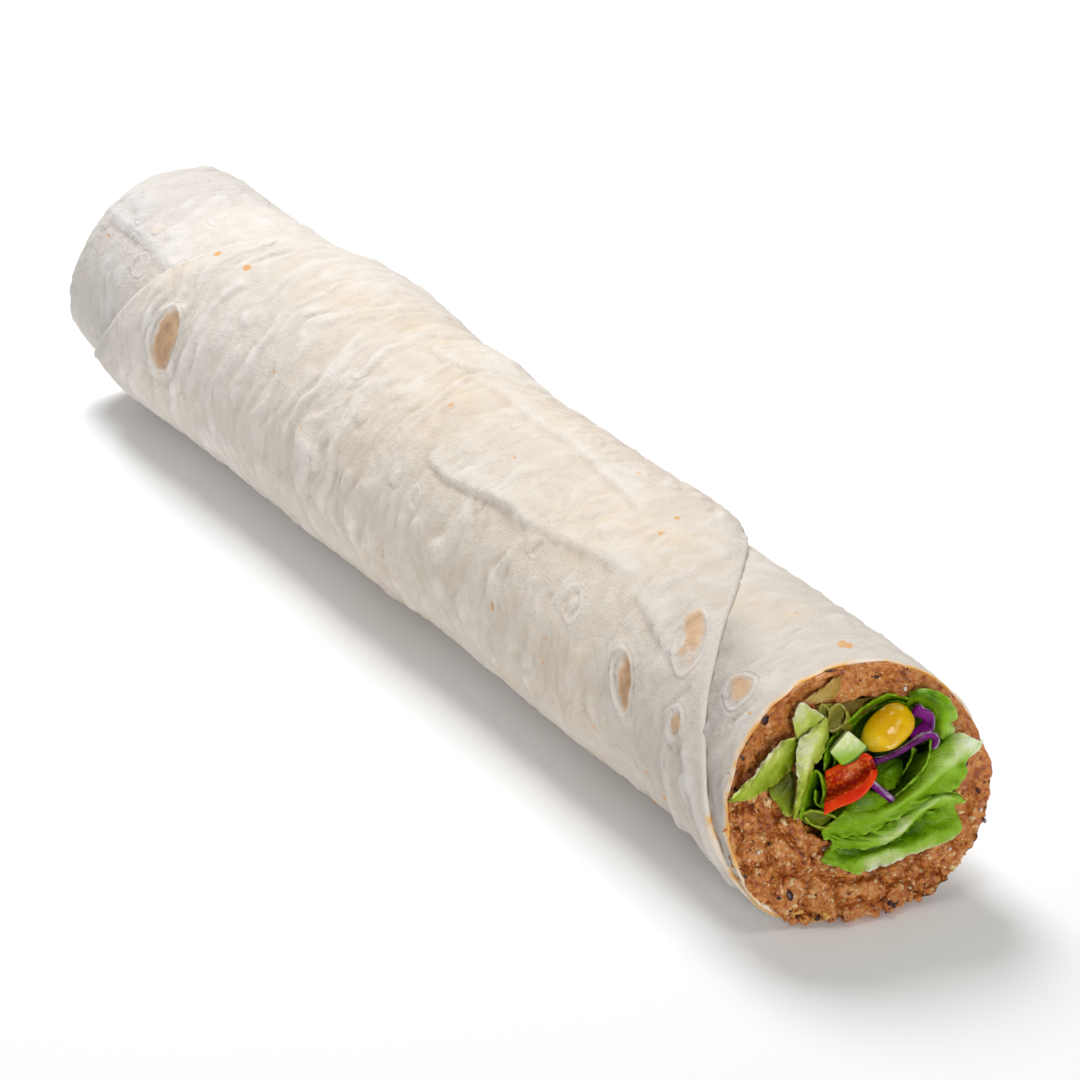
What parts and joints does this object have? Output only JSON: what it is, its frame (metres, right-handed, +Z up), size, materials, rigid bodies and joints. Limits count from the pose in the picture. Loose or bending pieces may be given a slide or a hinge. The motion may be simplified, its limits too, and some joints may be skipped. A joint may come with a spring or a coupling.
{
  "type": "cig kofte wrap",
  "caption": "Long rolled flatbread wrap filled with spiced bulgur paste round a salad core, cut at a slant at one end.",
  "frame": {"origin": "centre of the box's underside, on the surface that the wrap lies on", "axes": "+X along the roll to the cut end, +Y away from the side that shows the flap, +Z up"},
  "size_m": [0.2469, 0.0504, 0.0477],
  "materials": {
    "flatbread": "soft matt flour-dusted flatbread, pale cream with toasted blisters",
    "kofte_paste": "moist, grainy red-brown bulgur paste",
    "lettuce": "waxy leaf, ruffled, darker in the core and paler at the ribs",
    "pale_lettuce": "waxy pale leaf",
    "corn": "smooth wet yellow skin with paler patches",
    "cucumber": "wet pale flesh, darker green at the skin",
    "red_pepper": "glossy red skin and paler wet inner wall",
    "red_cabbage": "crisp purple skin with a pale inside"
  },
  "bodies": {
    "root": {"flatbread": "flatbread", "kofte_paste": "kofte_paste", "lettuce_bundle": "lettuce", "corn_kernel": "corn", "cucumber_piece": "cucumber", "red_pepper_piece": "red_pepper", "cabbage_shred_long": "red_cabbage", "cabbage_shred_curl": "red_cabbage", "cabbage_shred_short": "red_cabbage", "leaf_right": "lettuce", "leaf_low": "lettuce", "leaf_top": "lettuce", "leaf_top_right": "lettuce", "leaf_left_long": "pale_lettuce", "leaf_left_fold": "pale_lettuce", "leaf_left_tip": "pale_lettuce"}
  },
  "joints": []
}
